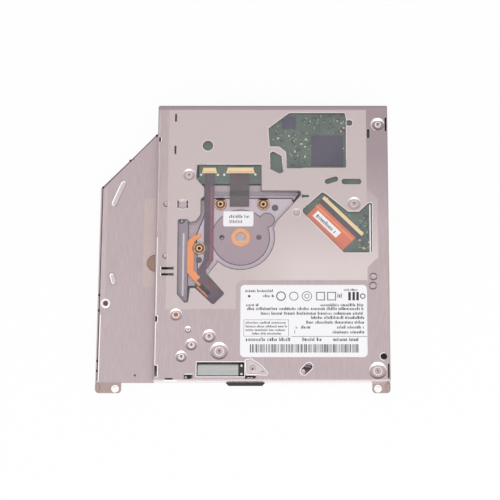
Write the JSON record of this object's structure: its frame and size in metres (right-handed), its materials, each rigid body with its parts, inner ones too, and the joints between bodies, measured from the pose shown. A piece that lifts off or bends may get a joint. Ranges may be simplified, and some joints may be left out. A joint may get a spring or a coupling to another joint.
{
  "type": "dvd drive",
  "caption": "Slim slot-loading optical disc drive for a laptop, with a pressed steel tray, side wing, front ears and a working loading and pickup mechanism.",
  "frame": {"origin": "on the outer face of the top cover, under the middle of the body between its side, front and rear walls", "axes": "+X to the right of the label side, +Y to the rear away from the disc slot, +Z out of the label side"},
  "size_m": [0.128, 0.1315, 0.0096],
  "materials": {
    "chassis_steel": "satin pressed steel with a fine grain",
    "wing_steel": "satin pressed steel with a fine grain",
    "cover_steel": "satin pressed steel",
    "ear_steel": "satin plated steel",
    "clear_film": "thin milky film",
    "label_white": "matt white paper label",
    "black_rubber": "matt black rubber",
    "board_green": "solder mask with traces",
    "chip_black": "moulded package",
    "connector_cream": "cream moulded connector",
    "latch_dark": "dark connector latch",
    "flex_orange": "amber polyimide",
    "flex_dark": "dark polyimide with copper",
    "black_plastic": "black moulded plastic",
    "motor_can": "matt plated can",
    "gear_plastic": "white acetal",
    "pin_steel": "turned steel",
    "copper_screw": "copper plated",
    "slider_plastic": "grey moulded plastic",
    "lever_steel": "plated sheet steel",
    "frame_steel": "pressed alloy",
    "base_steel": "matt plate",
    "bearing_brass": "turned brass",
    "stator_steel": "laminated core",
    "rotor_steel": "drawn cup",
    "pickup_alloy": "die cast",
    "lens_clear": "polished lens",
    "lever_plastic": "dark acetal",
    "screw_steel": "bright plated"
  },
  "bodies": {
    "chassis": {"bottom_chassis": "chassis_steel", "wing_panel": "wing_steel", "top_cover": "cover_steel", "left_mount_ear": "ear_steel", "right_mount_ear": "ear_steel", "insulation_film": "clear_film", "wing_film": "clear_film", "rating_label": "label_white", "flex_tag": "label_white", "front_pad": "black_rubber", "main_board": "board_green", "controller_chip": "chip_black", "driver_chip": "chip_black", "board_components": "chip_black", "sled_connector": "connector_cream", "spindle_connector": "connector_cream", "pickup_connector": "connector_cream", "pickup_latch": "latch_dark", "pickup_flex": "flex_orange", "switch_flex": "flex_orange", "sled_flex": "flex_dark", "spindle_flex": "flex_dark", "host_connector": "black_plastic", "loading_motor": "motor_can", "motor_cap": "black_plastic", "worm_bearing": "black_plastic", "pivot_posts": "pin_steel", "slider_post": "copper_screw", "traverse_bushes": "black_rubber", "lever_pins": "pin_steel", "dimple_screws": "screw_steel"},
    "traverse": {"traverse_frame": "frame_steel", "main_guide_shaft": "pin_steel", "side_guide_shaft": "pin_steel", "skew_screws": "copper_screw", "spindle_base": "base_steel", "spindle_bearing": "bearing_brass", "spindle_stator": "stator_steel", "motor_label": "label_white", "feed_motor": "motor_can"},
    "rotor": {"rotor_cup": "rotor_steel", "clamp_head": "black_plastic"},
    "sled": {"pickup_body": "pickup_alloy", "objective_lens": "lens_clear"},
    "lead_screw": {"lead_screw": "pin_steel"},
    "main_slider": {"main_slider": "slider_plastic"},
    "link_lever": {"link_lever": "lever_steel"},
    "sub_slider": {"sub_slider": "slider_plastic"},
    "worm": {"worm": "gear_plastic"},
    "worm_wheel": {"worm_wheel": "gear_plastic"},
    "compound_gear": {"compound_gear": "gear_plastic"},
    "idler_gear": {"idler_gear": "gear_plastic"},
    "cam_gear": {"cam_gear": "gear_plastic"},
    "feed_lever": {"feed_lever": "lever_plastic"},
    "guide_lever": {"guide_lever": "lever_plastic"},
    "eject_lever": {"eject_lever": "lever_steel"}
  },
  "joints": [
    {"name": "main_slide", "type": "slide", "parent": "chassis", "child": "main_slider", "axis": [0, -1, 0], "range_m": [0, 0.006]},
    {"name": "link_turn", "type": "hinge", "parent": "chassis", "child": "link_lever", "pos_m": [-0.0246, 0.0303, 0.0057], "axis": [0, 0, 1], "range_deg": [0, 4.86]},
    {"name": "sub_slide", "type": "slide", "parent": "chassis", "child": "sub_slider", "axis": [1, 0, 0], "range_m": [0, 0.000728]},
    {"name": "compound_turn", "type": "hinge", "parent": "chassis", "child": "compound_gear", "pos_m": [-0.02241, -0.04742, 0.0058], "axis": [0, 0, 1], "range_deg": [0, 143.26]},
    {"name": "wheel_turn", "type": "hinge", "parent": "chassis", "child": "worm_wheel", "pos_m": [-0.0267, -0.0527, 0.0066], "axis": [0, 0, 1], "range_deg": [-262.63, 0]},
    {"name": "idler_turn", "type": "hinge", "parent": "chassis", "child": "idler_gear", "pos_m": [-0.0147, -0.04361, 0.0062], "axis": [0, 0, 1], "range_deg": [-150.08, 0]},
    {"name": "cam_turn", "type": "hinge", "parent": "chassis", "child": "cam_gear", "pos_m": [-0.01026, -0.05027, 0.0062], "axis": [0, 0, 1], "range_deg": [0, 165.88]},
    {"name": "worm_turn", "type": "hinge", "parent": "chassis", "child": "worm", "pos_m": [-0.025, -0.0585, 0.00695], "axis": [1, 0, 0], "range_deg": [0, 2757.38]},
    {"name": "traverse_lift", "type": "hinge", "parent": "chassis", "child": "traverse", "pos_m": [0.04527, -0.04527, 0.0066], "axis": [-0.7071, -0.7071, 0], "range_deg": [0, 2.21]},
    {"name": "spindle_spin", "type": "hinge", "parent": "traverse", "child": "rotor", "pos_m": [-0.0014, 0.0014, 0.0065], "axis": [0, 0, 1], "continuous": true},
    {"name": "sled_feed", "type": "slide", "parent": "traverse", "child": "sled", "axis": [0.7071, -0.7071, 0], "range_m": [0, 0.031]},
    {"name": "lead_screw_turn", "type": "hinge", "parent": "traverse", "child": "lead_screw", "pos_m": [0.00539, -0.03424, 0.0063], "axis": [0.7071, -0.7071, 0], "range_deg": [0, 3720.1]},
    {"name": "feed_lever_swing", "type": "hinge", "parent": "chassis", "child": "feed_lever", "pos_m": [-0.06245, 0, 0.0027], "axis": [0, 0, 1], "range_deg": [0, 12]},
    {"name": "guide_lever_swing", "type": "hinge", "parent": "chassis", "child": "guide_lever", "pos_m": [0.061, 0.005, 0.0027], "axis": [0, 0, 1], "range_deg": [-11, 0]},
    {"name": "eject_lever_swing", "type": "hinge", "parent": "chassis", "child": "eject_lever", "pos_m": [-0.028, 0.05, 0.0053], "axis": [0, 0, 1], "range_deg": [-35, 0]}
  ],
  "couplings": [
    {"joint": "link_turn", "follows": "main_slide", "rad_per_m": 14.085},
    {"joint": "sub_slide", "follows": "main_slide", "ratio": 0.11972},
    {"joint": "compound_turn", "follows": "main_slide", "rad_per_m": 416.67},
    {"joint": "wheel_turn", "follows": "main_slide", "rad_per_m": -763.89},
    {"joint": "idler_turn", "follows": "main_slide", "rad_per_m": -436.51},
    {"joint": "cam_turn", "follows": "main_slide", "rad_per_m": 482.46},
    {"joint": "worm_turn", "follows": "main_slide", "rad_per_m": 8020.8},
    {"joint": "traverse_lift", "follows": "main_slide", "rad_per_m": 6.3995},
    {"joint": "lead_screw_turn", "follows": "sled_feed", "rad_per_m": 2094.4}
  ]
}
